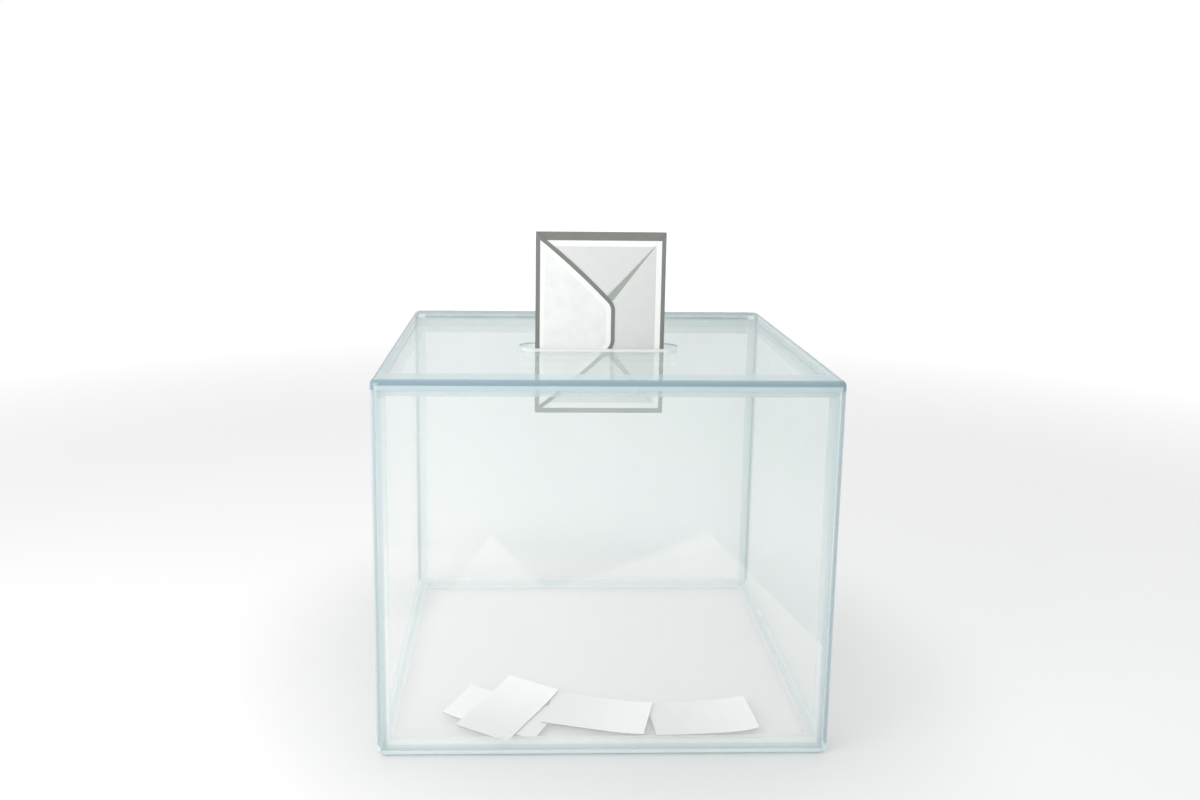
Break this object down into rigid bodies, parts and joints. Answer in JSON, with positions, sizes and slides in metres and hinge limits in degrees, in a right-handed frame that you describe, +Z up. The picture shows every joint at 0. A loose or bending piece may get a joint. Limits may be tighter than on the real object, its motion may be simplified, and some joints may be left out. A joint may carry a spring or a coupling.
{
  "type": "ballot box",
  "caption": "Clear box with a hinged, slotted lid that collects ballots, shown with an envelope half-way through the slot.",
  "frame": {"origin": "centre of the whole part's bounding box at its base, on the underside of the floor", "axes": "+X to the right seen from the front, +Y to the back where the hinge is, +Z up; the front faces -Y"},
  "size_m": [0.37, 0.3362, 0.417],
  "materials": {
    "clear_sheet": "gloss",
    "clear_strip": "gloss",
    "hinge_clear": "gloss",
    "pin_clear": "gloss",
    "envelope_paper": "matte",
    "ballot_paper": "matte"
  },
  "bodies": {
    "base": {"floor_panel": "clear_sheet", "front_panel": "clear_sheet", "back_panel": "clear_sheet", "left_panel": "clear_sheet", "right_panel": "clear_sheet", "corner_strip_front_left": "clear_strip", "corner_strip_front_right": "clear_strip", "corner_strip_back_left": "clear_strip", "corner_strip_back_right": "clear_strip", "floor_strip_front": "clear_strip", "floor_strip_back": "clear_strip", "floor_strip_left": "clear_strip", "floor_strip_right": "clear_strip", "hinge_wall_leaf": "hinge_clear", "hinge_pin": "pin_clear", "ballot_1": "ballot_paper", "ballot_2": "ballot_paper", "ballot_3": "ballot_paper", "ballot_4": "ballot_paper"},
    "lid": {"lid_panel": "clear_sheet", "lid_strip_front": "clear_strip", "lid_strip_back": "clear_strip", "lid_strip_left": "clear_strip", "lid_strip_right": "clear_strip", "hinge_lid_leaf": "hinge_clear"},
    "envelope": {"envelope": "envelope_paper"}
  },
  "joints": [
    {"name": "lid_hinge", "type": "hinge", "parent": "base", "child": "lid", "pos_m": [0, 0.16515, 0.306], "axis": [-1, 0, 0], "range_deg": [0, 195]},
    {"name": "envelope_slide", "type": "slide", "parent": "lid", "child": "envelope", "axis": [0, 0, 1], "range_m": [-0.111, 0.059]}
  ]
}
